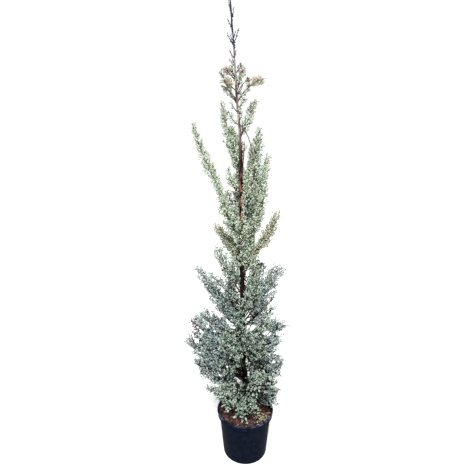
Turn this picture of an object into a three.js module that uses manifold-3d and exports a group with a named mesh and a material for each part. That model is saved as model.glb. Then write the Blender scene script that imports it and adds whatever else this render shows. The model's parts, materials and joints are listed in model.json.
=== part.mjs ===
// A potted arizona cypress: a young, narrow tree in a nursery pot.
// Millimetres, +Z up. The origin is the centre of the pot's flat underside, and -Y is the front.
import * as THREE from "three";
import { mergeVertices } from "three/addons/utils/BufferGeometryUtils.js";
import Module from "manifold-3d";

const wasm = await Module();
wasm.setup();

// Driving dimensions of the pot and its fill.
const POT = {
  height: 230,
  rimRadius: 140,
  wallTopRadius: 128,
  baseRadius: 109,
  baseChamfer: 4,
  collarHeight: 26,
  wall: 2.5,
  floor: 3,
  lipRadius: 3,
  draft: 1,
  facets: 36,
};
const MIX = { top: 212, edgeDrop: 2, crown: 3, crownRadius: 34, clearance: 0.3 };

// Driving dimensions of the tree.
const TRUNK = {
  foot: MIX.top + MIX.crown + 0.3,
  tip: 2091,
  radius: 13,
  tipRadius: 1.1,
  taper: 0.62,
  flare: 7,
  flareHeight: 26,
  lobes: 5,
  lobeDepth: 0.1,
  facets: 10,
  rings: 24,
  crowding: 1.6,
  bendSpan: 40,
};
// How the trunk leans and winds: its offset from the pot's axis at each height.
const LEAN = [
  { height: 213, x: 2, y: 0 },
  { height: 330, x: 3, y: 2 },
  { height: 570, x: -12, y: 4 },
  { height: 870, x: -18, y: -2 },
  { height: 1250, x: -24, y: 2 },
  { height: 1430, x: -26, y: 0 },
  { height: 1590, x: -33, y: -2 },
  { height: 1704, x: -46, y: 0 },
  { height: 1863, x: -55, y: 3 },
  { height: 2010, x: -66, y: 2 },
  { height: 2091, x: -74, y: 0 },
];
const CLEAR = 0.3;
const SHORTEST_EDGE = 0.006;
// A mass narrows to its foot and to its tip: the share of its radius at the foot, how fast it opens
// from there, how late it narrows, and by how much.
const PLUME = { foot: 0.55, opening: 2, lateness: 2.4, narrowing: 0.84 };
// A spray of needles, and how many a mass bears for its size. jitter is in degrees, over is its least
// height above the potting mix, and ownRoom how far it keeps from the sprays of its own mass.
const SPRAY = {
  spread: 31,
  jitter: 16,
  turn: 137.5,
  width: 0.5,
  thickness: 0.045,
  longest: 125,
  shortest: 24,
  reach: [0.85, 1.05],
  onStem: [0.08, 0.94],
  onTwig: [0.3, 0.95],
  over: 8,
  ownRoom: 0.5,
};
// A spray's outline from its root: shares of its length, and of half its width.
const BLADE = [
  [0, 0],
  [0.5, 1],
  [0.58, 0.42],
  [1, 0],
  [0.68, -0.36],
  [0.62, -0.9],
];
const BLADE_MIDDLE = 0.42;
// The room that a spray needs: stretches of its length, and their half width.
const BLADE_ROOM = [
  { from: 0.05, to: 0.35, half: 0.5, outer: false },
  { from: 0.35, to: 0.62, half: 1, outer: true },
  { from: 0.62, to: 1, half: 0.42, outer: true },
];
const COUNT = { least: 4, patch: 3900, fringe: 20, rounds: 90 };
// The side twigs that a wide mass bears on its stem. along is the stretch of the stem that bears
// them, and room the share of the mass's half width that their sprays fill.
const TWIG = {
  count: 4,
  fromRadius: 30,
  along: [0.12, 0.72],
  ahead: 0.1,
  spread: 40,
  reach: 0.6,
  room: 0.6,
  base: 2.2,
  tip: 0.7,
  margin: 1,
  sides: 3,
};

// How a limb bends on its way: the shares of its reach and of its rise at the bend.
const HABIT = {
  swept: { out: 0.72, lift: 0.3 },
  straight: { out: 0.54, lift: 0.46 },
  arched: { out: 0.86, lift: 0.66 },
  crooked: { out: 0.42, lift: 0.95 },
  low: { out: 0.6, lift: 0.35 },
};
// The limbs that make the outline. height is where a limb leaves the trunk, azimuth its direction
// seen from above (0 right, 90 back, 180 left, 270 front), reach and rise the place of its tip, radius
// the half width of its foliage, and bare the share of it that is a bough.
const LIMBS = [
  { name: "leader_left", height: 1983, azimuth: 190, reach: 21, rise: 37, radius: 7, bare: 0, habit: "straight" },
  { name: "leader_right", height: 1925, azimuth: 0, reach: 22, rise: 61, radius: 8, bare: 0, habit: "straight" },
  { name: "leader_low", height: 1918, azimuth: 190, reach: 27, rise: 46, radius: 7, bare: 0, habit: "straight" },
  { name: "top_left", height: 1692, azimuth: 214, reach: 83, rise: 123, radius: 22, bare: 0, habit: "low" },
  { name: "top_right", height: 1692, azimuth: 328, reach: 128, rise: 82, radius: 20, bare: 0, habit: "crooked" },
  { name: "upper_right", height: 1545, azimuth: 38, reach: 85, rise: 166, radius: 30, bare: 0, habit: "straight" },
  { name: "upper_left", height: 1385, azimuth: 148, reach: 105, rise: 322, radius: 37, bare: 0.12, habit: "straight" },
  { name: "inner_left", height: 1300, azimuth: 222, reach: 78, rise: 79, radius: 17, bare: 0, habit: "straight" },
  { name: "shoulder_right", height: 1170, azimuth: 318, reach: 96, rise: 418, radius: 50, bare: 0.14, habit: "swept" },
  { name: "shoulder_outer", height: 1130, azimuth: 38, reach: 164, rise: 348, radius: 34, bare: 0.2, habit: "swept" },
  { name: "shoulder_low", height: 1075, azimuth: 322, reach: 132, rise: 292, radius: 38, bare: 0, habit: "swept" },
  { name: "long_left", height: 1160, azimuth: 158, reach: 241, rise: 458, radius: 32, bare: 0.2, habit: "arched" },
  { name: "hip_left", height: 1070, azimuth: 218, reach: 121, rise: 217, radius: 44, bare: 0, habit: "straight" },
  { name: "hip_right", height: 1035, azimuth: 48, reach: 135, rise: 215, radius: 46, bare: 0, habit: "straight" },
  { name: "olive_right", height: 985, azimuth: 340, reach: 170, rise: 250, radius: 36, bare: 0.38, habit: "swept" },
  { name: "olive_left", height: 1005, azimuth: 150, reach: 156, rise: 151, radius: 35, bare: 0, habit: "straight" },
  { name: "waist_left", height: 822, azimuth: 214, reach: 136, rise: 254, radius: 46, bare: 0, habit: "straight" },
  { name: "waist_right", height: 796, azimuth: 42, reach: 132, rise: 168, radius: 54, bare: 0, habit: "straight" },
  { name: "broad_left", height: 640, azimuth: 174, reach: 214, rise: 315, radius: 46, bare: 0.16, habit: "straight" },
  { name: "broad_left_inner", height: 780, azimuth: 200, reach: 158, rise: 168, radius: 29, bare: 0, habit: "straight" },
  { name: "broad_right", height: 685, azimuth: 346, reach: 181, rise: 294, radius: 46, bare: 0.16, habit: "straight" },
  { name: "flank_right", height: 590, azimuth: 352, reach: 142, rise: 184, radius: 36, bare: 0, habit: "straight" },
  { name: "skirt_left_high", height: 480, azimuth: 184, reach: 196, rise: 262, radius: 66, bare: 0.14, habit: "straight" },
  { name: "skirt_left_upper", height: 440, azimuth: 172, reach: 250, rise: 236, radius: 56, bare: 0, habit: "straight" },
  { name: "skirt_left_mid", height: 370, azimuth: 168, reach: 290, rise: 198, radius: 62, bare: 0.18, habit: "straight" },
  { name: "skirt_left_low", height: 330, azimuth: 194, reach: 246, rise: 182, radius: 58, bare: 0.16, habit: "straight" },
  { name: "skirt_right_high", height: 465, azimuth: 350, reach: 168, rise: 231, radius: 64, bare: 0.14, habit: "straight" },
  { name: "skirt_right_outer", height: 440, azimuth: 12, reach: 184, rise: 204, radius: 46, bare: 0, habit: "swept" },
  { name: "skirt_right_mid", height: 352, azimuth: 15, reach: 190, rise: 88, radius: 60, bare: 0.16, habit: "straight" },
  { name: "skirt_right_low", height: 290, azimuth: 338, reach: 158, rise: 52, radius: 50, bare: 0.14, habit: "swept" },
];

// The front and back, which the outline leaves free, are filled by rule: a ring just over the soil,
// and then tier by tier up the trunk, with the back first and each tier swung off the last.
const APRON = {
  name: "apron_front",
  height: 258,
  azimuth: 268,
  reach: 130,
  rise: 46,
  radius: 48,
  bare: 0.14,
  habit: "swept",
};
const RING = {
  height: 325,
  step: 35,
  swing: 35,
  reach: 165,
  rise: 120,
  radius: 62,
  bare: 0,
  habit: "swept",
};
const FILL = {
  lowest: 425,
  highest: 1190,
  climb: 1.15,
  front: 268,
  back: 92,
  swing: [0, -36, 36, 36, -36, 0, 0],
  reach: [150, 62],
  rise: [140, 190],
  radius: [64, 38],
  bare: 0,
  habit: "swept",
};

const BOUGH = { base: 2.0, perRadius: 0.058, sides: 5, rings: 4 };
const STEM = { sides: 4, rings: 4, tip: 1.1 };
// The core of a dense mass: its radius is a share of the mass's, and swells and ebbs as part of a sine.
const CORE = {
  fromRadius: 30,
  share: 0.4,
  swell: [0.12, 0.94],
  sides: 5,
  rings: 4,
  start: 0.1,
  latest: 0.2,
  nudge: 0.01,
  end: 0.88,
};

// Colours and finishes.
const FINISH = {
  pot: { color: 0x14161f, roughness: 0.55, metalness: 0 },
  potting_mix: { color: 0x5e3425, roughness: 0.95, metalness: 0 },
  bark: { color: 0x6a3a30, roughness: 0.85, metalness: 0 },
  foliage: { color: 0x93a898, roughness: 0.8, metalness: 0 },
};

const rad = THREE.MathUtils.degToRad;
const mix = THREE.MathUtils.lerp;
const UP = new THREE.Vector3(0, 0, 1);

// A seeded generator: the same numbers in the same order on every run.
let seed = 20617;
function random() {
  seed = (seed * 48271) % 2147483647;
  return seed / 2147483647;
}

function finished(name, geometry, finish) {
  const mesh = new THREE.Mesh(geometry, new THREE.MeshStandardMaterial(FINISH[finish]));
  mesh.name = name;
  return mesh;
}

// A closed geometry as a solid that can be joined or cut, and back again.
function solidOf(geometry) {
  const bare = geometry.clone();
  bare.deleteAttribute("normal");
  bare.deleteAttribute("uv");
  const merged = mergeVertices(bare, 1e-3);
  return new wasm.Manifold(
    new wasm.Mesh({
      numProp: 3,
      vertProperties: new Float32Array(merged.attributes.position.array),
      triVerts: new Uint32Array(merged.index.array),
    }),
  );
}

function geometryOf(solid) {
  const { numProp, numVert, vertProperties, triVerts } = solid.getMesh();
  const places = new Float32Array(numVert * 3);
  for (let i = 0; i < numVert; i++) {
    places.set(vertProperties.subarray(i * numProp, i * numProp + 3), i * 3);
  }
  return new THREE.BufferGeometry()
    .setAttribute("position", new THREE.BufferAttribute(places, 3))
    .setIndex(new THREE.BufferAttribute(new Uint32Array(triVerts), 1));
}

// Whether a joined solid has no edge so short that rounding its corners would open it.
function isSound(solid) {
  const { numProp, vertProperties, triVerts } = solid.getMesh();
  const corner = (i) => new THREE.Vector3().fromArray(vertProperties, triVerts[i] * numProp);
  for (let i = 0; i < triVerts.length; i += 3) {
    const [a, b, c] = [corner(i), corner(i + 1), corner(i + 2)];
    if (Math.min(a.distanceTo(b), b.distanceTo(c), c.distanceTo(a)) < SHORTEST_EDGE) return false;
  }
  return true;
}

// The largest body of a solid, without loose scraps.
function largestOf(solid) {
  return solid.decompose().reduce((best, body) => (body.volume() > best.volume() ? body : best));
}

// The trunk's centre at a height: straight lines between the LEAN heights, eased at each bend.
function leanAt(height, axis) {
  const last = LEAN[LEAN.length - 1];
  const h = Math.min(Math.max(height, LEAN[0].height), last.height);
  const above = LEAN.findIndex((station, i) => i > 0 && station.height >= h);
  const [from, to] = [LEAN[above - 1], LEAN[above]];
  return mix(from[axis], to[axis], (h - from.height) / (to.height - from.height));
}

function trunkCentre(height) {
  const eased = (axis) =>
    [-1, 0, 1].reduce((sum, k) => sum + leanAt(height + k * TRUNK.bendSpan, axis), 0) / 3;
  return new THREE.Vector3(eased("x"), eased("y"), height);
}

function trunkRadius(height) {
  const share = (height - TRUNK.foot) / (TRUNK.tip - TRUNK.foot);
  const wood = TRUNK.radius * Math.pow(Math.max(0, 1 - share), TRUNK.taper) + TRUNK.tipRadius;
  return wood + TRUNK.flare * Math.exp(-(height - TRUNK.foot) / TRUNK.flareHeight);
}

// A closed limb: a cylinder, or a cone where it ends in a point, bent along a curve.
function limbGeometry(curve, radiusAt, sides, rings, pointed = false) {
  const geometry = new THREE.CylinderGeometry(pointed ? 0 : 1, 1, 1, sides, rings);
  const frames = curve.computeFrenetFrames(rings, false);
  const position = geometry.attributes.position;
  for (let i = 0; i < position.count; i++) {
    const along = position.getY(i) + 0.5;
    const ring = Math.round(along * rings);
    const place = curve.getPointAt(ring / rings);
    const side = new THREE.Vector2(position.getX(i), position.getZ(i));
    if (side.length() > 1e-6) {
      side.setLength(radiusAt(ring / rings));
      place.addScaledVector(frames.binormals[ring], side.x);
      place.addScaledVector(frames.normals[ring], side.y);
    }
    position.setXYZ(i, place.x, place.y, place.z);
  }
  return geometry;
}

// The stretch of a curve between two shares of its length.
function stretch(curve, from, to, count = 9) {
  const places = [];
  for (let i = 0; i < count; i++) places.push(curve.getPointAt(mix(from, to, i / (count - 1))));
  return new THREE.CatmullRomCurve3(places);
}

// The pot: one wall turned round the axis, with a flat foot, a stepped collar and a rolled lip.
function potMesh() {
  const collarFoot = POT.height - POT.collarHeight;
  const lipTop = POT.height - POT.lipRadius;
  const inner = POT.rimRadius - POT.wall - POT.lipRadius;
  const profile = [
    [0, 0],
    [POT.baseRadius - POT.baseChamfer, 0],
    [POT.baseRadius, POT.baseChamfer],
    [POT.wallTopRadius, collarFoot],
    [POT.rimRadius - POT.lipRadius, collarFoot],
    [POT.rimRadius - POT.lipRadius + POT.draft, lipTop - POT.lipRadius],
    [POT.rimRadius, lipTop],
    [POT.rimRadius - POT.draft, POT.height],
    [inner, POT.height],
    [inner, collarFoot + POT.wall],
    [POT.wallTopRadius - POT.wall, collarFoot + POT.wall],
    [POT.baseRadius - POT.wall, POT.baseChamfer + POT.floor],
    [0, POT.baseChamfer + POT.floor],
  ].map(([r, z]) => new THREE.Vector2(r, z));
  return finished("pot", new THREE.LatheGeometry(profile, POT.facets).rotateX(Math.PI / 2), "pot");
}

// The potting mix fills the pot to a little below the rim, with a slight crown at the stem.
function pottingMixMesh() {
  const gap = MIX.clearance;
  const ledge = POT.height - POT.collarHeight + POT.wall + gap;
  const floor = POT.baseChamfer + POT.floor + gap;
  const inner = POT.rimRadius - POT.wall - POT.lipRadius - gap;
  const profile = [
    [0, floor],
    [POT.baseRadius - POT.wall - gap, floor],
    [POT.wallTopRadius - POT.wall - gap, ledge],
    [inner, ledge],
    [inner, MIX.top - MIX.edgeDrop],
    [MIX.crownRadius, MIX.top + MIX.crown],
    [0, MIX.top + MIX.crown],
  ].map(([r, z]) => new THREE.Vector2(r, z));
  const fill = new THREE.LatheGeometry(profile, POT.facets).rotateX(Math.PI / 2);
  return finished("potting_mix", fill, "potting_mix");
}

// The trunk from its flat cut at the soil to its tip, with rings closer together at the root flare.
function trunkGeometry(grow) {
  const geometry = new THREE.CylinderGeometry(1, 1, 1, TRUNK.facets, TRUNK.rings);
  const position = geometry.attributes.position;
  for (let i = 0; i < position.count; i++) {
    const ring = Math.round((position.getY(i) + 0.5) * TRUNK.rings);
    const height = mix(TRUNK.foot, TRUNK.tip, Math.pow(ring / TRUNK.rings, TRUNK.crowding));
    const place = trunkCentre(height);
    const side = new THREE.Vector2(position.getX(i), -position.getZ(i));
    if (side.length() > 1e-6) {
      const nearFoot = Math.exp(-(height - TRUNK.foot) / TRUNK.flareHeight);
      const lobe = 1 + TRUNK.lobeDepth * nearFoot * Math.cos(TRUNK.lobes * side.angle());
      side.setLength(trunkRadius(height) * lobe + grow);
    }
    const sunk = grow && ring === 0 ? grow : 0;
    position.setXYZ(i, place.x + side.x, place.y + side.y, height - sunk);
  }
  return geometry;
}

// What fills the front and back of the crown.
function fillLimbs() {
  const limbs = [APRON];
  for (const [name, azimuth] of [["front", FILL.front], ["back", FILL.back]]) {
    for (const [side, turn] of [["first", -1], ["second", 1]]) {
      limbs.push({
        ...RING,
        name: `ring_${name}_${side}`,
        height: RING.height + RING.step * turn,
        azimuth: azimuth + RING.swing * turn,
      });
    }
  }
  FILL.swing.forEach((swing, i) => {
    const share = i / (FILL.swing.length - 1);
    const height = mix(FILL.lowest, FILL.highest, Math.pow(share, FILL.climb));
    limbs.push({
      name: `${i % 2 ? "front" : "back"}_${i + 1}`,
      height,
      azimuth: (i % 2 ? FILL.front : FILL.back) + swing,
      reach: mix(...FILL.reach, share),
      rise: mix(...FILL.rise, share),
      radius: mix(...FILL.radius, share),
      bare: FILL.bare,
      habit: FILL.habit,
    });
  });
  return limbs;
}

// A limb's axis leaves the trunk and turns up at its bend.
function limbAxis(limb) {
  const habit = HABIT[limb.habit];
  const out = new THREE.Vector3(Math.cos(rad(limb.azimuth)), Math.sin(rad(limb.azimuth)), 0);
  const foot = trunkCentre(limb.height);
  const bend = foot.clone().addScaledVector(out, limb.reach * habit.out);
  bend.z += limb.rise * habit.lift;
  const tip = foot.clone().addScaledVector(out, limb.reach);
  tip.z += limb.rise;
  return new THREE.QuadraticBezierCurve3(foot, bend, tip);
}

// Every solid is also kept as a chain of round-ended segments, so that a spray can be kept clear.
const taken = [];
function take(owner, curve, radiusAt, steps = 10) {
  for (let i = 0; i < steps; i++) {
    const [a, b] = [i / steps, (i + 1) / steps];
    taken.push({
      owner,
      a: curve.getPointAt(a),
      b: curve.getPointAt(b),
      radius: Math.max(radiusAt(a), radiusAt(b)),
    });
  }
}

// The distance between two segments.
function segmentGap(p, q) {
  const d1 = p.b.clone().sub(p.a);
  const d2 = q.b.clone().sub(q.a);
  const r = p.a.clone().sub(q.a);
  const [a, e, f] = [d1.dot(d1), d2.dot(d2), d2.dot(r)];
  const [b, c] = [d1.dot(d2), d1.dot(r)];
  const denominator = a * e - b * b;
  let s = denominator > 1e-9 ? THREE.MathUtils.clamp((b * f - c * e) / denominator, 0, 1) : 0;
  let t = (b * s + f) / e;
  if (t < 0 || t > 1) {
    t = THREE.MathUtils.clamp(t, 0, 1);
    s = THREE.MathUtils.clamp((b * t - c) / a, 0, 1);
  }
  return p.a.clone().addScaledVector(d1, s).distanceTo(q.a.clone().addScaledVector(d2, t));
}

// A spray keeps clear of every other node, and crosses no spray of its own mass.
function isClear(owner, segments) {
  return segments.every((mine) =>
    taken.every((other) => {
      const both = mine.radius + other.radius;
      if (other.owner !== owner) return segmentGap(mine, other) > both + CLEAR;
      return !other.outer || !mine.outer || segmentGap(mine, other) > SPRAY.ownRoom * both;
    }),
  );
}

// The half width of a mass at a share of its own length: round at the foot, pointed at the tip.
function plumeRadius(limb, share) {
  const foot = Math.min(1, PLUME.foot + share * PLUME.opening);
  const point = 1 - Math.pow(share, PLUME.lateness) * PLUME.narrowing;
  return limb.radius * foot * point;
}

// The stem of a dense mass with its small core, cut clear of the trunk. The core starts a little
// further along where the join would leave too short an edge.
function withCore(limb, stem, bare, trunkRoom) {
  const bulge = (share) => limb.radius * CORE.share * Math.sin(Math.PI * mix(...CORE.swell, share));
  for (let start = CORE.start; ; start += CORE.nudge) {
    const core = stretch(stem, start, CORE.end);
    const body = solidOf(limbGeometry(core, bulge, CORE.sides, CORE.rings));
    const joined = bare.add(body).subtract(trunkRoom);
    if (!isSound(joined) && start < CORE.latest) continue;
    take("foliage_" + limb.name, core, bulge);
    return joined;
  }
}

// A spray of needles: a toothed blade, thick at its middle and sharp at its rim, with its root at the
// origin and its tip along +X.
function sprayGeometry(length) {
  const half = (length * SPRAY.width) / 2;
  const geometry = new THREE.SphereGeometry(1, BLADE.length, 2);
  const position = geometry.attributes.position;
  for (let i = 0; i < position.count; i++) {
    const pole = Math.round(position.getY(i));
    const [along, aside] = pole ? [BLADE_MIDDLE, 0] : BLADE[(i % (BLADE.length + 1)) % BLADE.length];
    position.setXYZ(i, along * length, (pole * length * SPRAY.thickness) / 2, aside * half);
  }
  return geometry;
}

// A direction that leaves a stem at a share of its length, so many degrees off it and round it.
function leaving(stem, share, spread, around) {
  const tangent = stem.getTangentAt(share);
  const side = new THREE.Vector3().crossVectors(tangent, UP).normalize();
  side.applyAxisAngle(tangent, rad(around));
  return tangent.multiplyScalar(Math.cos(rad(spread))).addScaledVector(side, Math.sin(rad(spread)));
}

// The side twigs of a wide mass, each a golden turn from the last.
function twigLines({ limb, stem }) {
  if (limb.radius < TWIG.fromRadius) return [];
  return Array.from({ length: TWIG.count }, (_, i) => {
    const share = mix(...TWIG.along, i / (TWIG.count - 1));
    const direction = leaving(stem, share, TWIG.spread, i * SPRAY.turn + limb.azimuth);
    const room = plumeRadius(limb, share + TWIG.ahead);
    const length = (TWIG.reach * room) / Math.sin(rad(TWIG.spread));
    const foot = stem.getPointAt(share);
    return new THREE.LineCurve3(foot, foot.clone().addScaledVector(direction, length));
  });
}

// Where a mass may bear a spray, by the seeded rule: on its stem and its twigs by turns, each spray a
// golden turn from the last and just long enough to reach the outside of the mass.
function sprayPlace({ limb, stem, twigs, sprays }, attempt) {
  const twig = twigs.length && attempt % 2 ? twigs[((attempt - 1) / 2) % twigs.length] : null;
  const carrier = twig || stem;
  const step = twig ? random() : ((attempt % sprays) + random()) / sprays;
  const along = mix(...(twig ? SPRAY.onTwig : SPRAY.onStem), step);
  const foot = carrier.getPointAt(along);
  const spread = SPRAY.spread + SPRAY.jitter * (random() - 0.5);
  const direction = leaving(carrier, along, spread, attempt * SPRAY.turn + limb.azimuth);
  const room = twig ? plumeRadius(limb, TWIG.room) * TWIG.room : plumeRadius(limb, along);
  const length = (room * mix(...SPRAY.reach, random())) / Math.sin(rad(spread));
  const roll = random() * Math.PI;
  return { foot, direction, length: THREE.MathUtils.clamp(length, SPRAY.shortest, SPRAY.longest), roll };
}

function spraySolid({ foot, direction, length, roll }) {
  const turn = new THREE.Quaternion().setFromUnitVectors(new THREE.Vector3(1, 0, 0), direction);
  const geometry = sprayGeometry(length).rotateX(roll).applyQuaternion(turn);
  return solidOf(geometry.translate(foot.x, foot.y, foot.z));
}

// A bough: the first, bare stretch of a limb, cut to the trunk's round with a small clearance.
function boughMesh(limb, axis, radiusAt, trunkRoom) {
  const piece = stretch(axis, 0, limb.bare);
  const round = (share) => radiusAt(share * limb.bare);
  const solid = solidOf(limbGeometry(piece, round, BOUGH.sides, BOUGH.rings)).subtract(trunkRoom);
  take("bough_" + limb.name, piece, round);
  return finished("bough_" + limb.name, geometryOf(solid), "bark");
}

const tree = new THREE.Group();
tree.add(potMesh(), pottingMixMesh());
tree.add(finished("trunk", trunkGeometry(0), "bark"));
const trunkRoom = solidOf(trunkGeometry(CLEAR));

const trunkCurve = { getPointAt: (share) => trunkCentre(mix(TRUNK.foot, TRUNK.tip, share)) };
take("trunk", trunkCurve, (share) => trunkRadius(mix(TRUNK.foot, TRUNK.tip, share)), 40);

// First the stems of all the masses, so that each knows its room.
const masses = [];
for (const limb of [...LIMBS, ...fillLimbs()]) {
  const axis = limbAxis(limb);
  const base = BOUGH.base + limb.radius * BOUGH.perRadius;
  const radiusAt = (share) => mix(base, STEM.tip, share);
  if (limb.bare) tree.add(boughMesh(limb, axis, radiusAt, trunkRoom));
  const from = limb.bare ? limb.bare + (CLEAR * 1.2) / axis.getLength() : 0;
  const stem = stretch(axis, from, 1);
  const round = (share) => radiusAt(mix(from, 1, share));
  const bare = solidOf(limbGeometry(stem, round, STEM.sides, STEM.rings, true));
  const dense = limb.radius >= CORE.fromRadius;
  const solid = dense ? withCore(limb, stem, bare, trunkRoom) : bare.subtract(trunkRoom);
  take("foliage_" + limb.name, stem, round);
  const size = stem.getLength() * (limb.radius + COUNT.fringe);
  const sprays = Math.round(COUNT.least + size / COUNT.patch);
  masses.push({ limb, stem, solid, sprays, twigs: [], borne: 0 });
}

// Then their twigs, and then their sprays in turn, where there is room.
for (const mass of masses) {
  const owner = "foliage_" + mass.limb.name;
  const round = (share) => mix(TWIG.base, TWIG.tip, share);
  for (const twig of twigLines(mass)) {
    if (!isClear(owner, [{ a: twig.v1, b: twig.v2, radius: TWIG.base + TWIG.margin }])) continue;
    const joined = mass.solid.add(solidOf(limbGeometry(twig, round, TWIG.sides, 1, true)));
    if (!isSound(joined)) continue;
    mass.solid = joined;
    take(owner, twig, round, 1);
    mass.twigs.push(twig);
  }
}

for (let attempt = 0; attempt < COUNT.rounds; attempt++) {
  for (const mass of masses) {
    if (mass.borne >= mass.sprays) continue;
    const owner = "foliage_" + mass.limb.name;
    const place = sprayPlace(mass, attempt);
    const tip = place.foot.clone().addScaledVector(place.direction, place.length);
    const at = (share) => place.foot.clone().lerp(tip, share);
    const half = (place.length * SPRAY.width) / 2;
    const segments = BLADE_ROOM.map(({ from, to, half: share, outer }) => {
      return { a: at(from), b: at(to), radius: half * share, outer };
    });
    if (Math.min(tip.z, at(0.5).z) - half < MIX.top + SPRAY.over) continue;
    if (!isClear(owner, segments)) continue;
    const joined = mass.solid.add(spraySolid(place));
    if (!isSound(joined)) continue;
    mass.solid = joined;
    segments.forEach((segment) => taken.push({ owner, ...segment }));
    mass.borne += 1;
  }
}
for (const { limb, solid } of masses) {
  tree.add(finished("foliage_" + limb.name, geometryOf(largestOf(solid)), "foliage"));
}

export default tree;
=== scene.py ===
import json
import math

import bpy
import numpy as np
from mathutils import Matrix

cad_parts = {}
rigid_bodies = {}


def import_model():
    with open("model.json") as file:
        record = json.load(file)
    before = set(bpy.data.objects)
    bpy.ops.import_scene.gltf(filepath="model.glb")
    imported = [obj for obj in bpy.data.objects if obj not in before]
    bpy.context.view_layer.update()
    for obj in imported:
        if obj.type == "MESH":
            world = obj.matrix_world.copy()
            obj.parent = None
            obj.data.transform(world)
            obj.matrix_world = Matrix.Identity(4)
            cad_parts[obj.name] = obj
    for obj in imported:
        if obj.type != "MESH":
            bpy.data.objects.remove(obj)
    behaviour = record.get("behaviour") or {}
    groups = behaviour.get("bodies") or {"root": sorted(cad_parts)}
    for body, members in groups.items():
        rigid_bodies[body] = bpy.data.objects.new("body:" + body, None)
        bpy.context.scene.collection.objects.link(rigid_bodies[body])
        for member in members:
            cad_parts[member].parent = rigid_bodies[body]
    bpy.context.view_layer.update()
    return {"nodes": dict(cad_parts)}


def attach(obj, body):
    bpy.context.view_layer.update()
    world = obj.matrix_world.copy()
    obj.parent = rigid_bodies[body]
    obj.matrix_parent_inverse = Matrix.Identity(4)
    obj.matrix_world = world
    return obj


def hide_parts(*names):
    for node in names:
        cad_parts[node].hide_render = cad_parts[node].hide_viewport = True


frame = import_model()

# A potted arizona cypress. Sizes are in millimetres, and in metres only in the materials and the meshes.
print("frame loaded:", len(frame["nodes"]), "nodes")

up = np.array([0.0, 0.0, 1.0])
right = np.array([1.0, 0.0, 0.0])
dice = np.random.default_rng(20617)
goldenTurn = 137.5
fullTurn = 2 * math.pi
# from here a direction counts as steep, and a share of a strand's length ends here
steepFrom, lastShare = 0.95, 0.9999


def toLinear(hexColour):
    parts = [int(hexColour[i:i + 2], 16) / 255 for i in (1, 3, 5)]
    linear = [p / 12.92 if p <= 0.04045 else ((p + 0.055) / 1.055) ** 2.4 for p in parts]
    return (*linear, 1.0)


# the Mix node's setting and sockets when it mixes colours
mixColours = {"data_type": "RGBA"}
firstColour, secondColour, mixedColour = 6, 7, 2


# An input is a value, a node whose first output is meant, or a node with one of its outputs.
def addNode(tree, kind, inputs=None, stops=None, settings=None):
    node = tree.nodes.new("ShaderNode" + kind)
    for name, value in (settings or {}).items():
        setattr(node, name, value)
    if stops:
        colours = node.color_ramp.elements
        while len(colours) < len(stops):
            colours.new(0.5)
        for element, (place, hexColour) in zip(colours, stops):
            element.position = place
            element.color = toLinear(hexColour)
    for socket, value in (inputs or {}).items():
        if isinstance(value, bpy.types.Node):
            value = (value, 0)
        if isinstance(value, tuple) and isinstance(value[0], bpy.types.Node):
            tree.links.new(value[0].outputs[value[1]], node.inputs[socket])
        else:
            node.inputs[socket].default_value = value
    return node


# A material, from the function that gives its shader.
def newMaterial(name, shaderOf, *colours):
    material = bpy.data.materials.new(name)
    material.use_nodes = True
    tree = material.node_tree
    tree.nodes.clear()
    addNode(tree, "OutputMaterial", {"Surface": shaderOf(tree, *colours)})
    return material


def unit(vectors):
    return vectors / np.maximum(np.linalg.norm(vectors, axis=-1, keepdims=True), 1e-9)


def dress(piece, material, nodes=()):
    piece.data.materials.clear()
    piece.data.materials.append(material)
    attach(piece, "root")
    if nodes:
        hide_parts(*nodes)


def newObject(name, data):
    piece = bpy.data.objects.new(name, data)
    bpy.context.collection.objects.link(piece)
    return piece


# Many small closed shapes as one mesh: the places of each, and the triangles of one.
def joinedMesh(name, places, faces, smooth=True):
    count, each = places.shape[:2]
    triangles = np.array(faces)[None] + (np.arange(count) * each)[:, None, None]
    faceCount = count * len(faces)
    mesh = bpy.data.meshes.new(name)
    mesh.vertices.add(count * each)
    mesh.vertices.foreach_set("co", (places / 1000).astype(np.float32).ravel())
    mesh.loops.add(faceCount * 3)
    mesh.loops.foreach_set("vertex_index", triangles.astype(np.int32).ravel())
    mesh.polygons.add(faceCount)
    mesh.polygons.foreach_set("loop_start", np.arange(0, faceCount * 3, 3, dtype=np.int32))
    mesh.update(calc_edges=True)
    mesh.polygons.foreach_set("use_smooth", np.full(faceCount, smooth))
    return newObject(name, mesh)


def inMode(mode):
    bpy.ops.object.mode_set(mode=mode)


def shadeSmooth(degrees):
    bpy.ops.object.shade_smooth_by_angle(angle=math.radians(degrees))


def nodesNamed(start):
    return [name for name in frame["nodes"] if name.startswith(start)]


# The trunk

trunk = {
    "foot": 215.3, "tip": 2091, "radius": 13, "tipRadius": 1.1, "taper": 0.62,
    "flare": 7, "flareHeight": 26, "lobes": 5, "lobeDepth": 0.1, "bendSpan": 40,
    "sides": 36, "rings": 620, "stripDepth": 0.045, "knotSize": 9, "knotSwell": 1.6, "knotWidth": 60,
    "knotLeast": 0.5, "smooth": 60,
    "strips": ((5, 57, 0.4), (9, 31, 2.1), (14, 19, 4.4)), "wander": 2.2,
    "slimFrom": (1380, 1540, 1800, 1890, 2000, 2091), "slim": (1.0, 0.76, 0.8, 0.58, 0.8, 2.0),
}
# height, and the trunk's offset to the right and to the back there
lean = np.array([
    (213, 2, 0), (330, 3, 2), (570, -12, 4), (870, -18, -2), (1250, -24, 2), (1430, -26, 0),
    (1590, -33, -2), (1704, -46, 0), (1863, -55, 3), (2010, -66, 2), (2091, -74, 0),
], float)


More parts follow.
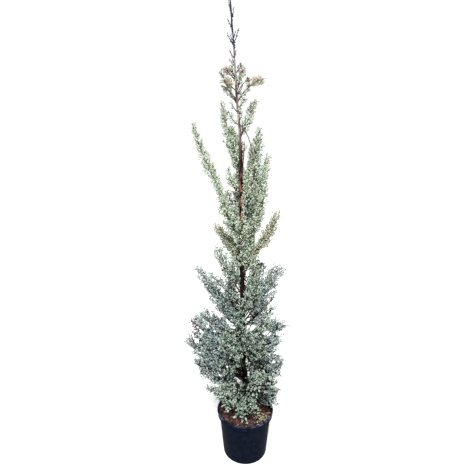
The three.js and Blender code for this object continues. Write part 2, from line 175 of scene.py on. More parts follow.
def trunkCentre(height):
    height = np.asarray(height, float)
    aside = np.zeros(height.shape + (2,))
    for step in (-1, 0, 1):
        at = np.clip(height + step * trunk["bendSpan"], lean[0, 0], lean[-1, 0])
        aside[..., 0] += np.interp(at, lean[:, 0], lean[:, 1]) / 3
        aside[..., 1] += np.interp(at, lean[:, 0], lean[:, 2]) / 3
    return np.concatenate([aside, height[..., None]], axis=-1)


def trunkRadius(height):
    share = (height - trunk["foot"]) / (trunk["tip"] - trunk["foot"])
    wood = trunk["radius"] * np.maximum(0, 1 - share) ** trunk["taper"] + trunk["tipRadius"]
    return wood + trunk["flare"] * np.exp(-(height - trunk["foot"]) / trunk["flareHeight"])


def barkShader(tree):
    # thin bark that flakes in upright strips, about 6 mm wide and 45 mm long, in patches 22 mm wide:
    # near black at the foot, a painted shade under the crown, red brown under the flakes higher up,
    # greyish pink above that, and dark blue at the leader. Its right side is painted dark as shade.
    place = (addNode(tree, "TexCoord"), "Object")
    strips = addNode(tree, "Mapping", {"Vector": place, "Scale": (1.0, 1.0, 0.14)})
    flakes = addNode(tree, "TexNoise", {"Vector": strips, "Scale": 160.0, "Detail": 4.0})
    plates = addNode(tree, "Mapping", {"Vector": place, "Scale": (1.0, 1.0, 0.5)})
    patches = addNode(tree, "TexNoise", {"Vector": plates, "Scale": 45.0, "Detail": 2.0})
    axes = addNode(tree, "SeparateXYZ", {"Vector": place})
    height = addNode(tree, "MapRange", {"Value": (axes, "Z"), "From Min": 0.2, "From Max": 2.1})
    # the bark's colour by height; the near black at the foot is painted shade under the crown
    layer = addNode(tree, "ValToRGB", {"Fac": height}, [
        (0.0, "#050303"), (0.24, "#060303"), (0.32, "#140908"), (0.39, "#2a1310"), (0.45, "#6a3322"),
        (0.54, "#9a5237"), (0.63, "#8c564b"), (0.70, "#94675e"), (0.77, "#bdaba6"), (0.87, "#9a8d8b"),
        (0.92, "#3a4150"), (1.0, "#18213a")])
    # dark bark between the flakes, which also paints the shade low down and on the trunk's right side
    darkBarkAndShade = addNode(tree, "ValToRGB", {"Fac": height}, [
        (0.0, "#040202"), (0.36, "#0d0606"), (0.53, "#180a07"), (0.70, "#1d0e0e"), (0.77, "#6e6261"),
        (0.87, "#5a4f52"), (0.92, "#1a2130"), (1.0, "#101827")])
    flaked = addNode(tree, "MapRange", {"Value": flakes, "From Min": 0.38, "From Max": 0.56})
    patched = addNode(tree, "MapRange", {"Value": patches, "From Min": 0.39, "From Max": 0.5})
    # painted shade: the side facing right gets the dark colour, as if the light came from the left
    facing = addNode(tree, "SeparateXYZ", {"Vector": (place[0], "Normal")})
    paintedLitSide = addNode(tree, "MapRange", {"Value": (facing, "X"), "From Min": 0.55, "From Max": 0.1})
    multiply = {"operation": "MULTIPLY"}
    bare = addNode(tree, "Math", {0: flaked, 1: patched}, settings=multiply)
    shown = addNode(tree, "Math", {0: bare, 1: paintedLitSide}, settings=multiply)
    colour = addNode(tree, "Mix", {
        "Factor": shown, firstColour: darkBarkAndShade, secondColour: layer}, settings=mixColours)
    bump = addNode(tree, "Bump", {"Height": flakes, "Strength": 0.6, "Distance": 0.002})
    return addNode(tree, "BsdfPrincipled", {
        "Base Color": (colour, mixedColour), "Roughness": 0.55, "Specular IOR Level": 0.12, "Normal": bump})


# The trunk has rings all the way up, pushed out by the root flare, by strips of bark and by a knot at
# the foot of each limb.
def trunkPiece():
    bpy.ops.object.select_all(action="DESELECT")
    length = (trunk["tip"] - trunk["foot"]) / 1000
    bpy.ops.mesh.primitive_cylinder_add(vertices=trunk["sides"], radius=trunk["radius"] / 1000, depth=length)
    piece = bpy.context.object
    piece.name = "trunk_bark"
    inMode("EDIT")
    bpy.ops.mesh.select_mode(type="EDGE")
    bpy.ops.mesh.select_all(action="DESELECT")
    inMode("OBJECT")
    mesh = piece.data
    for edge in mesh.edges:
        a, b = (mesh.vertices[v].co for v in edge.vertices)
        edge.select = abs(a.z - b.z) > length / 2
    inMode("EDIT")
    bpy.ops.mesh.subdivide(number_cuts=trunk["rings"] - 1)
    inMode("OBJECT")
    count = len(mesh.vertices)
    places = np.zeros(count * 3)
    mesh.vertices.foreach_get("co", places)
    x, y, z = places.reshape(count, 3).T
    share = z / length + 0.5
    height = trunk["foot"] + share * (trunk["tip"] - trunk["foot"])
    angle = np.arctan2(y, x)
    nearFoot = np.exp(-(height - trunk["foot"]) / trunk["flareHeight"])
    lobe = 1 + trunk["lobeDepth"] * nearFoot * np.cos(trunk["lobes"] * angle)
    strips = sum(
        np.sin(angle * around + np.sin(height / wave + around) * trunk["wander"] + phase) / (n + 1)
        for n, (around, wave, phase) in enumerate(trunk["strips"])
    )
    swell = np.zeros(count)
    for base, turn, width in zip(limbHeight, limbTurn, limbWidth):
        away = np.abs((angle - turn + math.pi) % fullTurn - math.pi)
        apart = np.hypot(height - base, trunk["radius"] * away)
        size = trunk["knotLeast"] + width / trunk["knotWidth"]
        knot = trunk["knotSwell"] * size * trunkRadius(base) / trunk["radius"]
        swell += knot * np.exp(-(apart / trunk["knotSize"]) ** 2)
    slim = np.interp(height, trunk["slimFrom"], trunk["slim"])
    radius = trunkRadius(height) * slim * lobe * (1 + trunk["stripDepth"] * strips) + swell
    centre = trunkCentre(height)
    across, back = centre[:, 0] + radius * np.cos(angle), centre[:, 1] + radius * np.sin(angle)
    moved = np.stack([across, back, height], axis=-1)
    mesh.vertices.foreach_set("co", (moved / 1000).ravel())
    mesh.update()
    shadeSmooth(trunk["smooth"])
    dress(piece, newMaterial("flaking cherry-brown bark", barkShader), ["trunk"])


# The limbs: height where each leaves the trunk, azimuth seen from above (0 right, 90 back), reach
# and rise of its tip, half width of its foliage, the share of it that is bare, its habit and colours.
limbs = {
    "leader_left": (1983, 190, 21, 37, 7, 0, "straight", "leader"),
    "leader_right": (1925, 0, 22, 61, 8, 0, "straight", "leader"),
    "leader_low": (1918, 190, 27, 46, 7, 0, "straight", "leader"),
    "top_left": (1692, 214, 83, 123, 22, 0, "low", "dryLeft"),
    "top_right": (1692, 328, 128, 82, 20, 0, "crooked", "dryRight"),
    "upper_right": (1545, 38, 85, 166, 30, 0, "straight", "sage"),
    "upper_left": (1385, 148, 105, 322, 37, 0.12, "straight", "sage"),
    "inner_left": (1300, 222, 78, 79, 17, 0, "straight", "sage"),
    "shoulder_right": (1170, 318, 96, 418, 50, 0.14, "swept", "sage"),
    "shoulder_outer": (1130, 38, 164, 348, 34, 0.2, "swept", "sage"),
    "shoulder_low": (1075, 322, 132, 292, 38, 0, "swept", "sage"),
    "long_left": (1160, 158, 241, 458, 32, 0.2, "arched", "sage"),
    "hip_left": (1070, 218, 121, 217, 44, 0, "straight", "sage"),
    "hip_right": (1035, 48, 135, 215, 46, 0, "straight", "sage"),
    "olive_right": (985, 340, 170, 250, 36, 0.38, "swept", "olive"),
    "olive_left": (1005, 150, 156, 151, 35, 0, "straight", "olive"),
    "waist_left": (822, 214, 136, 254, 46, 0, "straight", "low"),
    "waist_right": (796, 42, 132, 168, 54, 0, "straight", "bluish"),
    "broad_left": (640, 174, 214, 315, 46, 0.16, "straight", "broad"),
    "broad_left_inner": (780, 200, 158, 168, 29, 0, "straight", "broad"),
    "broad_right": (685, 346, 181, 294, 46, 0.16, "straight", "broad"),
    "flank_right": (590, 352, 142, 184, 36, 0, "straight", "bluish"),
    "skirt_left_high": (480, 184, 196, 262, 66, 0.14, "straight", "bluish"),
    "skirt_left_upper": (440, 172, 250, 236, 56, 0, "straight", "bluish"),
    "skirt_left_mid": (370, 168, 290, 198, 62, 0.18, "straight", "bluish"),
    "skirt_left_low": (330, 194, 246, 182, 58, 0.16, "straight", "under"),
    "skirt_right_high": (465, 350, 168, 231, 64, 0.14, "straight", "bluish"),
    "skirt_right_outer": (440, 12, 184, 204, 46, 0, "swept", "bluish"),
    "skirt_right_mid": (352, 15, 190, 88, 60, 0.16, "straight", "bluish"),
    "skirt_right_low": (290, 338, 158, 52, 50, 0.14, "swept", "under"),
    "apron_front": (258, 268, 130, 46, 48, 0.14, "swept", "pale"),
    # thin and short limbs between those above, and dry sprays
    "apron_left": (262, 252, 98, 40, 24, 0.14, "swept", "pale"),
    "apron_right": (255, 296, 100, 34, 18, 0.14, "swept", "low"),
    "apron_fallen": (246, 306, 128, -20, 20, 0.3, "arched", "fallen"),
    "apron_lying": (240, 324, 112, -16, 14, 0.4, "arched", "fallen"),
    "skirt_left_curl": (275, 178, 190, 60, 26, 0.3, "low", "under"),
    "loop_right": (700, 8, 162, 137, 13, 0.3, "swept", "bluish"),
    "stub_low": (1836, 190, 24, 30, 6, 0, "straight", "leader"),
    "stub_high": (1868, 186, 22, 34, 6, 0, "straight", "leader"),
    "dry_leaf": (1692, 350, 104, 82, 20, 0.64, "crooked", "tan"),
    "dry_loop": (1704, 196, 46, 68, 24, 0.5, "low", "tan"),
    "dry_tip": (1784, 190, 46, 44, 14, 0.3, "straight", "pink"),
    "pink_tip": (1775, 2, 36, 54, 13, 0.35, "straight", "pink"),
    "green_tip": (1735, 350, 24, 94, 11, 0.25, "low", "sage"),
    "brown_tip": (1720, 350, 54, 62, 9, 0.75, "crooked", "brown"),
    "hook_right": (1606, 306, 114, -296, 6, 0.97, "hooked", "tan"),
    "long_left_low": (1128, 179, 114, 230, 30, 0, "arched", "sage"),
    "upper_left_inner": (1400, 196, 52, 190, 30, 0, "straight", "sage"),
    "shoulder_inner": (1250, 348, 74, 298, 38, 0, "swept", "sage"),
    "shoulder_crest": (1290, 340, 74, 305, 30, 0, "swept", "sage"),
    "shoulder_edge": (1190, 350, 112, 296, 22, 0.25, "swept", "sage"),
    "shoulder_side": (1290, 335, 50, 232, 18, 0.3, "arched", "sage"),
    "olive_left_fill": (1000, 160, 112, 146, 34, 0, "straight", "olive"),
    "olive_right_fill": (985, 350, 146, 240, 30, 0.4, "swept", "olive"),
    "broad_left_fill": (660, 180, 194, 276, 28, 0.1, "straight", "broad"),
    "broad_right_fill": (700, 348, 150, 284, 32, 0.1, "straight", "broad"),
    "skirt_left_fill": (400, 180, 225, 200, 42, 0.1, "straight", "bluish"),
    "skirt_left_edge": (430, 174, 262, 200, 22, 0.4, "straight", "bluish"),
    "skirt_left_tip": (470, 176, 232, 240, 26, 0.2, "straight", "bluish"),
    "cover_low": (292, 262, 64, 92, 34, 0, "swept", "pale"),
    "cover_mid": (512, 275, 66, 118, 34, 0, "swept", "pale"),
    "cover_high": (600, 262, 70, 130, 32, 0, "swept", "pale"),
    "cover_waist": (692, 270, 60, 112, 30, 0, "swept", "low"),
    "cover_hip": (968, 274, 48, 98, 26, 0, "swept", "sage"),
}
# How a limb bends on its way: the shares of its reach and rise at the bend.
habits = {
    "swept": (0.72, 0.3), "straight": (0.54, 0.46), "arched": (0.86, 0.66),
    "crooked": (0.42, 0.95), "low": (0.6, 0.35), "hooked": (1.0, 0.2),
}
ring = {"height": 325, "step": 35, "swing": 35, "reach": 165, "rise": 120, "radius": 62}
fill = {
    "lowest": 425, "highest": 1190, "climb": 1.15, "front": 268, "back": 92,
    "swing": (0, -36, 36, 36, -36, 0, 0), "reach": (150, 62), "rise": (140, 190), "radius": (64, 38),
}
# Shorter limbs that stand close round the trunk between the others. In front of the heights in
# shown there are none, and the trunk stays in view. From openRight up none faces right.
inner = {
    "count": 84, "lowest": 250, "highest": 1440, "rise": (95, 165), "share": (0.72, 0.6), "radius": (38, 26),
    "bare": 0.06, "shown": ((800, 970), (1180, 1600)), "front": 270, "facing": 66, "vary": (0.8, 1.15),
    "widestAt": 0.8, "coversTo": 1.1, "lowEnds": 780, "openRight": 1290, "openFacing": 60,
}
# The crown's half width by height, from the potting mix to the shoulder.
crownWidth = [
    (250, 110), (330, 165), (460, 215), (590, 225), (700, 205), (790, 125), (950, 100), (1060, 92),
    (1160, 75), (1280, 95), (1400, 85), (1500, 60),
]


def between(pair, share):
    return pair[0] + (pair[1] - pair[0]) * share


# The ring over the potting mix, and the tiers that fill the front and the back.
def fillLimbs():
    made = {}
    for name, azimuth in (("front", fill["front"]), ("back", fill["back"])):
        for side, turn in (("first", -1), ("second", 1)):
            made[f"ring_{name}_{side}"] = (
                ring["height"] + ring["step"] * turn, azimuth + ring["swing"] * turn,
                ring["reach"], ring["rise"], ring["radius"], 0, "swept", "low",
            )
    last = len(fill["swing"]) - 1
    for i, swing in enumerate(fill["swing"]):
        share = i / last
        height = between((fill["lowest"], fill["highest"]), share ** fill["climb"])
        side = "front" if i % 2 else "back"
        made[f"{side}_{i + 1}"] = (
            height, fill[side] + swing, between(fill["reach"], share), between(fill["rise"], share),
            between(fill["radius"], share), 0, "swept", "low" if height < inner["lowEnds"] else "sage",
        )
    return made


# Sprigs low on the leader, with dry ones from dryFrom upwards, and the short shoots above them.
sprigs = {
    "count": 13, "lowest": 1600, "highest": 1812, "reach": (38, 24), "rise": (46, 36), "radius": 13,
    "dryFrom": 1690,
}
shoots = {"count": 9, "lowest": 1846, "highest": 2046, "reach": (13, 8), "rise": (30, 40), "radius": 4}
topTurn = {"start": 160, "vary": (0.7, 1.3)}


def innerLimbs():
    made = {}
    heights, widths = np.array(crownWidth, float).T
    for i in range(inner["count"]):
        share = i / (inner["count"] - 1)
        height = between((inner["lowest"], inner["highest"]), share)
        azimuth = (i * goldenTurn) % 360
        rise = between(inner["rise"], share) * between(inner["vary"], dice.random())
        width = float(np.interp(height + rise * inner["widestAt"], heights, widths))
        reach = width * between(inner["share"], share) * between(inner["vary"], dice.random())
        offFront = abs((azimuth - inner["front"] + 180) % 360 - 180)
        top = height + rise * inner["coversTo"]
        hides = any(height < high and top > low for low, high in inner["shown"])
        toRight = height > inner["openRight"] and min(azimuth, 360 - azimuth) < inner["openFacing"]
        if offFront < inner["facing"] and hides or toRight:
            continue
        kind = "sage" if height > inner["lowEnds"] else "low" if offFront < inner["facing"] else "bluish"
        radius = between(inner["radius"], share)
        made[f"inner_{i + 1}"] = (height, azimuth, reach, rise, radius, inner["bare"], "swept", kind)
    return made


def topLimbs():
    made = {}
    for name, rule in (("sprig", sprigs), ("shoot", shoots)):
        for i in range(rule["count"]):
            share = i / (rule["count"] - 1)
            height = between((rule["lowest"], rule["highest"]), share)
            dry = name == "sprig" and height > sprigs["dryFrom"]
            kind = "leader" if name == "shoot" else "dryRight" if dry else "sage"
            size = between(topTurn["vary"], dice.random())
            made[f"{name}_{i + 1}"] = (
                height, i * goldenTurn + topTurn["start"], between(rule["reach"], share) * size,
                between(rule["rise"], share) * size, rule["radius"], 0, "swept", kind)
    return made


limbs.update(fillLimbs())
limbs.update(innerLimbs())
limbs.update(topLimbs())
limbNames = list(limbs)
limbTable = np.array([limbs[name][:6] for name in limbNames], float)
limbHeight, limbAzimuth, limbReach, limbRise, limbWidth, limbBare = limbTable.T
limbTurn = np.radians(limbAzimuth)
limbHabit = np.array([habits[limbs[name][6]] for name in limbNames])
limbKind = np.array([limbs[name][7] for name in limbNames])
# How a mass opens at its foot and narrows to its tip: low masses are blunt and high ones pointed.
plume = {
    "foot": 0.55, "opening": 2.0, "height": (700, 1000), "lateness": (3.0, 2.4), "narrowing": (0.74, 0.84),
}


def bezier(foot, bend, tip, steps):
    t = np.linspace(0, 1, steps)[None, :, None]
    return foot[:, None] * (1 - t) ** 2 + bend[:, None] * 2 * t * (1 - t) + tip[:, None] * t ** 2


def limbAxes():
    out = np.stack([np.cos(limbTurn), np.sin(limbTurn), np.zeros(len(limbTurn))], axis=-1)
    foot = trunkCentre(limbHeight)
    bend = foot + out * (limbReach * limbHabit[:, 0])[:, None] + up * (limbRise * limbHabit[:, 1])[:, None]
    tip = foot + out * limbReach[:, None] + up * limbRise[:, None]
    return bezier(foot, bend, tip, bough["steps"])


def plumeRadius(width, share, height):
    foot = np.minimum(1, plume["foot"] + share * plume["opening"])
    lateness = np.interp(height, plume["height"], plume["lateness"])
    return width * foot * (1 - share ** lateness * np.interp(height, plume["height"], plume["narrowing"]))


# A direction square to each of many, turned round it by an angle.
def squareTo(directions, angle):
    steep = np.abs(directions[..., 2:]) > steepFrom
    side = unit(np.cross(directions, np.where(steep, right, up)))
    return side * np.cos(angle)[..., None] + np.cross(directions, side) * np.sin(angle)[..., None]


# Directions square to many strands, evenly round each.
def spokesRound(foot, tip, sides):
    angle = np.arange(sides) * fullTurn / sides + dice.random((len(foot), 1)) * fullTurn
    return squareTo(unit(tip - foot)[:, None], angle)


def strandLength(points):
    return np.linalg.norm(np.diff(points, axis=1), axis=-1).sum(axis=1)


# Strands as arrays, one row each: their points and length, and further values for each or for all.
def strandSet(points, **values):
    rows = {name: np.array(np.broadcast_to(value, len(points))) for name, value in values.items()}
    return {"points": points, "length": strandLength(points), **rows}


# The place on many strands at a share of their length, and the direction there.
def alongStrand(points, share):
    steps = points.shape[1] - 1
    place = np.clip(share, 0, lastShare) * steps
    low = place.astype(int)
    row = np.arange(len(points))
    start, end = points[row, low], points[row, low + 1]
    return start + (end - start) * (place - low)[:, None], unit(end - start)


# Closed tapering tubes round many strands, each ending in a point.
def tubes(name, points, radii, sides, roughness=0.0):
    count, steps = points.shape[:2]
    spoke = spokesRound(points[:, 0], points[:, -1], sides)
    thick = radii[:, :-1, None, None] * (1 + roughness * dice.standard_normal((count, steps - 1, sides, 1)))
    rings = points[:, :-1, None] + spoke[:, None] * thick
    places = np.concatenate([rings.reshape(count, -1, 3), points[:, -1:]], axis=1)
    faces = []
    top = (steps - 2) * sides
    for s in range(sides):
        n = (s + 1) % sides
        if 0 < s < sides - 1:
            faces.append((0, n, s))
        for a in range(0, top, sides):
            b = a + sides
            faces += [(a + s, a + n, b + n), (a + s, b + n, b + s)]
        faces.append((top + s, top + n, top + sides))
    return joinedMesh(name, places, faces)


# The crown: each limb bears branches, those bear twigs, and those bear the cords of scale leaves.
# from and to are the stretch of the parent that bears, spacing the way between two, spread the angle
# off the parent, lift the pull upwards, follow the pull along the parent, and steps the points in
# each. A cord is a spindle, widest at its belly. A limb that is bare for more than clump of its
# length is a stalk with sprays at its end.
crown = {
    "branch": {"from": 0.03, "to": 0.97, "spacing": 6.8, "spread": 36, "jitter": 16, "lift": 0.28,
               "follow": 0.25, "steps": 5, "base": 1.1, "tip": 0.5, "sides": 4},
    "twig": {"from": 0.12, "to": 1.0, "spacing": 4.6, "spread": 42, "jitter": 30, "lift": 0.24,
             "follow": 0.2, "steps": 3, "base": 0.8, "tip": 0.0, "sides": 3},
    "cord": {"from": 0.3, "to": 1.0, "spacing": 1.5, "spread": 36, "jitter": 28, "lift": 0.12,
             "follow": 0.5, "steps": 2, "radius": (1.6, 2.4), "belly": 0.55},
    "branchReach": (0.74, 1.1), "pastTip": 22, "fineTips": (0.5, 1.0),
    "footFrom": 0.03, "footCover": 0.35, "clump": 0.45,
    "twigLength": (13, 25), "twigByWidth": (0.62, 1.12), "widest": 66, "twigAlong": (1.05, 0.55),
    "cordLength": (6, 10), "cordAlong": (1.1, 0.65),
    "overMix": 4, "insideRim": 6, "offTrunk": 1, "reachLow": (-310, -186), "reachHigh": (214, 190),
}
# Openings where the background shows through the crown from the front: the place across and up at
# the trunk's distance, half the width and half the height.
openings = [
    (-8, 1452, 10, 40), (-1, 1530, 9, 13), (-82, 1607, 11, 11), (-52, 1676, 8, 20), (-17, 1655, 8, 30),
    (-61, 1326, 17, 9), (-40, 862, 8, 18), (10, 721, 11, 24), (27, 661, 21, 15),
    (-70, 680, 9, 5), (-56, 662, 8, 6), (-36, 383, 5, 15), (-121, 409, 10, 8), (-112, 848, 8, 9),
    (104, 630, 18, 14), (-90, 1764, 9, 8), (-12, 1790, 6, 9), (-61, 1748, 8, 20), (-24, 1753, 12, 16),
    (6, 940, 8, 22), (159, 632, 13, 15), (134, 480, 15, 8), (69, 432, 5, 12), (-90, 455, 7, 9),
    (-237, 592, 11, 12), (-60, 1402, 15, 12), (168, 530, 22, 14), (198, 436, 24, 34), (182, 290, 26, 34),
    (-276, 492, 22, 46), (-274, 545, 20, 12), (40, 1754, 28, 9), (84, 1020, 25, 37), (-188, 668, 10, 8),
    (-150, 642, 8, 6), (-215, 642, 7, 9), (-259, 430, 34, 44),
]
# Where nothing hangs in front of the trunk: from and to in height, and how far left and right of its
# middle.
trunkView = [
    (372, 500, 18, 1), (812, 918, 6, 6), (1180, 1345, 8, 1), (1345, 1590, 9, 8), (1690, 1860, 7, 6),
]


# Children on many strands: places, directions and lengths follow the rule.
def grow(parents, rule, lengthOf):
    stretch = rule["to"] - rule["from"]
    counts = np.maximum(1, np.round(parents["length"] * stretch / rule["spacing"])).astype(int)
    index = np.repeat(np.arange(len(counts)), counts)
    order = np.arange(len(index)) - np.repeat(np.cumsum(counts) - counts, counts)
    step = (order + dice.random(len(index))) / counts[index]
    share = rule["from"] + stretch * step
    foot, tangent = alongStrand(parents["points"][index], share)
    spread = np.radians(rule["spread"] + rule["jitter"] * (dice.random(len(index)) - 0.5))
    around = np.radians(order * goldenTurn) + parents["turn"][index]
    heading = tangent * np.cos(spread)[:, None] + squareTo(tangent, around) * np.sin(spread)[:, None]
    length = lengthOf(index, share, spread)
    ending = unit(heading + up * rule["lift"] + tangent * rule["follow"])
    bend = foot + heading * (length * 0.5)[:, None]
    tip = bend + ending * (length * 0.5)[:, None]
    points = bezier(foot, bend, tip, rule["steps"])
    return strandSet(
        points, share=share, turn=dice.random(len(index)) * fullTurn, limb=parents["limb"][index],
        reach=parents["reach"][index], fine=parents["fine"][index], parent=index)


def chosen(strands, keep):
    return {name: values[keep] for name, values in strands.items()}


# Nothing grows into the potting mix, the pot's rim or the trunk, or past the crown's reach.
def keepClear(strands):
    points = strands["points"][:, 1:]
    fromAxis = np.linalg.norm(points[..., :2], axis=-1)
    overMix = points[..., 2] > potMix["top"] + crown["overMix"]
    withinRim = fromAxis < pot["innerRadius"] - crown["insideRim"]
    overRim = (points[..., 2] > pot["height"] + crown["overMix"]) | withinRim
    beside = np.linalg.norm((points - trunkCentre(points[..., 2]))[..., :2], axis=-1)
    offTrunk = beside[:, 1:] > trunkRadius(points[:, 1:, 2]) + crown["offTrunk"]
    within = (points[..., :2] > crown["reachLow"]) & (points[..., :2] < crown["reachHigh"])
    return chosen(strands, (overMix & overRim).all(axis=1) & offTrunk.all(axis=1) & within.all(axis=(1, 2)))


# Where a point seems to lie at the trunk's distance, from the camera's place.
def seenFromFront(points):
    eye = np.array(camera["place"], float)
    ahead = points - eye
    return eye + ahead * (-eye[1] / ahead[..., 1:2])


def inEllipse(across, height, middleAcross, middleHeight, halfWidth, halfHeight):
    return ((across - middleAcross) / halfWidth) ** 2 + ((height - middleHeight) / halfHeight) ** 2 < 1


# Nothing hangs in the openings or in front of the trunk where it shows.
def keepOpen(strands):
    middle = strands["points"].mean(axis=1)
    seen = seenFromFront(middle)
    closed = np.zeros(len(middle), bool)
    for opening in openings:
        closed |= inEllipse(seen[:, 0], seen[:, 2], *opening)
    beside = seen[:, 0] - trunkCentre(seen[:, 2])[:, 0]
    for low, high, left, right in trunkView:
        near = (beside > -left) & (beside < right)
        closed |= near & (seen[:, 2] > low) & (seen[:, 2] < high) & (middle[:, 1] < 0)
    return chosen(strands, ~closed)


# Dense dry sprays near a limb's end: the place along it, half the size across, in depth and
# upwards, the number of twigs, and the way that they are drawn out.
clumps = {
    "dry_leaf": (0.68, (18, 7, 8), 90, (1.6, 0, 0.2)), "dry_loop": (0.82, (19, 8, 16), 60, (0, 0, 0)),
    "dry_tip": (0.85, (14, 8, 10), 26, (0, 0, 0.6)), "pink_tip": (0.8, (14, 8, 13), 16, (0, 0, 0.8)),
    "brown_tip": (0.9, (11, 6, 9), 16, (0, 0, 0)),
}
# How the twigs of a clump lie in it: how far out their feet are, their length, both as shares of its
# half size, and how coarse they are.
clumpTwig = {"feet": 0.75, "length": 0.5, "fine": 2.8}


def clumpTwigs(axes):
    made = []
    for name, (share, half, count, drawnOut) in clumps.items():
        limb = limbNames.index(name)
        centre, _ = alongStrand(axes[[limb]], np.array([share]))
        heading = unit(dice.standard_normal((count, 3)))
        foot = centre + heading * np.array(half) * clumpTwig["feet"] * dice.random((count, 1))
        tip = foot + unit(heading + np.array(drawnOut)) * np.array(half) * clumpTwig["length"]
        points = bezier(foot, (foot + tip) / 2, tip, crown["twig"]["steps"])
        made.append(strandSet(
            points, share=1.0, turn=dice.random(count) * fullTurn, limb=limb, reach=0.0,
            fine=clumpTwig["fine"], parent=0))
    return {name: np.concatenate([each[name] for each in made]) for name in made[0]}


# Limbs whose sprays stand apart like stars, the share of their twigs that is kept, and their size.
starry = {
    "limbs": ("apron_front", "apron_left", "apron_right", "ring_front_second"), "keep": 0.4, "size": 1.5,
}


def growCrown():
    stems = strandSet(
        limbAxes(), turn=limbTurn, limb=np.arange(len(limbNames)), reach=limbWidth, fine=1.0)
    bearing = dict(stems)
    # the foot of a limb is clothed part of the way in, but a clump at a limb's end has a bare stalk
    clothedFrom = crown["footFrom"] + limbBare * crown["footCover"]
    bareStart = np.where(limbBare < crown["clump"], clothedFrom, limbBare)
    axes = stems["points"]
    t = bareStart[:, None] + (1 - bareStart[:, None]) * np.linspace(0, 1, bough["steps"])[None]
    row = np.repeat(np.arange(len(axes)), bough["steps"])
    clothed, _ = alongStrand(axes[row], t.ravel())
    bearing["points"] = clothed.reshape(axes.shape)
    bearing["length"] = strandLength(bearing["points"])

    def branchLength(index, share, spread):
        room = plumeRadius(bearing["reach"][index], share, limbHeight[bearing["limb"][index]])
        longest = (1 - share) * bearing["length"][index] + crown["pastTip"]
        wanted = room * between(crown["branchReach"], dice.random(len(index))) / np.sin(spread)
        return np.minimum(wanted, longest)

    bearing = chosen(bearing, limbKind != "leader")
    branches = keepOpen(keepClear(grow(bearing, crown["branch"], branchLength)))
    branches["fine"] = between(
        crown["fineTips"], plumeRadius(1, branches["share"], limbHeight[branches["limb"]]))
    apart = np.isin(limbNames, starry["limbs"])[branches["limb"]]
    branches["fine"][apart] *= starry["size"]

    def twigLength(index, share, spread):
        width = branches["reach"][index]
        size = between(crown["twigLength"], dice.random(len(index)))
        size *= between(crown["twigByWidth"], width / crown["widest"])
        return size * between(crown["twigAlong"], share) * branches["fine"][index]

    twigs = keepOpen(keepClear(grow(branches, crown["twig"], twigLength)))
    thinned = apart[twigs["parent"]] & (dice.random(len(twigs["parent"])) > starry["keep"])
    twigs = chosen(twigs, ~thinned)
    dense = keepOpen(clumpTwigs(axes))
    twigs = {name: np.concatenate([twigs[name], dense[name]]) for name in twigs}

    def cordLength(index, share, spread):
        size = np.maximum(1, twigs["fine"][index]) ** 0.5
        size = size * between(crown["cordAlong"], share)
        return size * between(crown["cordLength"], dice.random(len(index)))

    cords = keepOpen(keepClear(grow(twigs, crown["cord"], cordLength)))
    return stems, branches, twigs, cords


def taper(strands, base, tip):
    steps = strands["points"].shape[1]
    base = np.broadcast_to(np.asarray(base, float), (len(strands["points"]),))
    return base[:, None] + (tip - base)[:, None] * np.linspace(0, 1, steps)[None]


# The leader's own cords of scale leaves, close along its top and along the shoots beside it.
leader = {
    "from": 1892, "to": 2076, "length": (7, 10), "along": (1.1, 0.7), "fine": 1.5, "shoot": 0.66,
    "cord": {"from": 0.08, "to": 1.0, "spacing": 5.5, "spread": 44, "jitter": 20, "lift": 0.2, "follow": 0.2,
             "steps": 2},
}


def leaderCords():
    height = np.linspace(leader["from"], leader["to"], bough["steps"])
    points = np.concatenate([trunkCentre(height)[None], limbAxes()[limbKind == "leader"]])
    bearing = strandSet(points, turn=np.arange(len(points)), limb=0, reach=0.0, fine=leader["fine"])

    def length(index, share, spread):
        return between(leader["length"], dice.random(len(index))) * between(leader["along"], share)

    return grow(bearing, leader["cord"], length)


# A cord of scale leaves is a closed spindle: the foot, three points round the belly, and the tip.
spindle = [(0, 2, 1), (0, 3, 2), (0, 1, 3), (4, 1, 2), (4, 2, 3), (4, 3, 1)]


def sprayPiece(name, strands):
    rule = crown["cord"]
    foot, tip = strands["points"][:, 0], strands["points"][:, -1]
    spoke = spokesRound(foot, tip, 3)
    radius = between(rule["radius"], dice.random(len(foot))) * strands["fine"] ** 0.5
    belly = (foot + (tip - foot) * rule["belly"])[:, None] + spoke * radius[:, None, None]
    places = np.concatenate([foot[:, None], belly, tip[:, None]], axis=1)
    return joinedMesh(name, places, spindle)


# The scale foliage of the tree: hex colours of the lit bloom and of the green under it. The upper crown
# is grey green, the lower crown grey blue.
tones = {
    "pale": ("#e4edda", "#c7d5be"),
    "sage": ("#c9d8c3", "#a4b8a0"),
    "deep": ("#9cb29a", "#6c846b"),
    "fog": ("#d2dfd1", "#b6c6b6"),
    "fern": ("#bccfbf", "#97ad9b"),
    "jade": ("#8ea592", "#647c69"),
    "moss": ("#5d7361", "#384b3b"),
    "frost": ("#d3e1de", "#b4c5c2"),
    "mist": ("#b5c7c4", "#91a6a3"),
    "slate": ("#899e9b", "#617875"),
    "dusk": ("#5c706f", "#374948"),
    # the last two are painted shade: dark tones given to sprays inside the crown, where little light gets in
    "shade": ("#46543f", "#2b372c"),
    "pore": ("#1c281c", "#0c130d"),
    "olive": ("#cfd0b2", "#a2a385"),
    "lime": ("#c3cf86", "#93a24e"),
    "straw": ("#d2c7ac", "#a69a7e"),
    "pink": ("#dccac1", "#b39d97"),
    "brown": ("#a8967c", "#725f4d"),
    "mauve": ("#7a6873", "#42323e"),
    "dark": ("#26344c", "#111a2b"),
}
# the tones of living foliage, which give way to the darker tones of painted shade inside the crown
living = ("pale", "sage", "deep", "fog", "fern", "jade", "moss", "frost", "mist", "slate", "dusk")
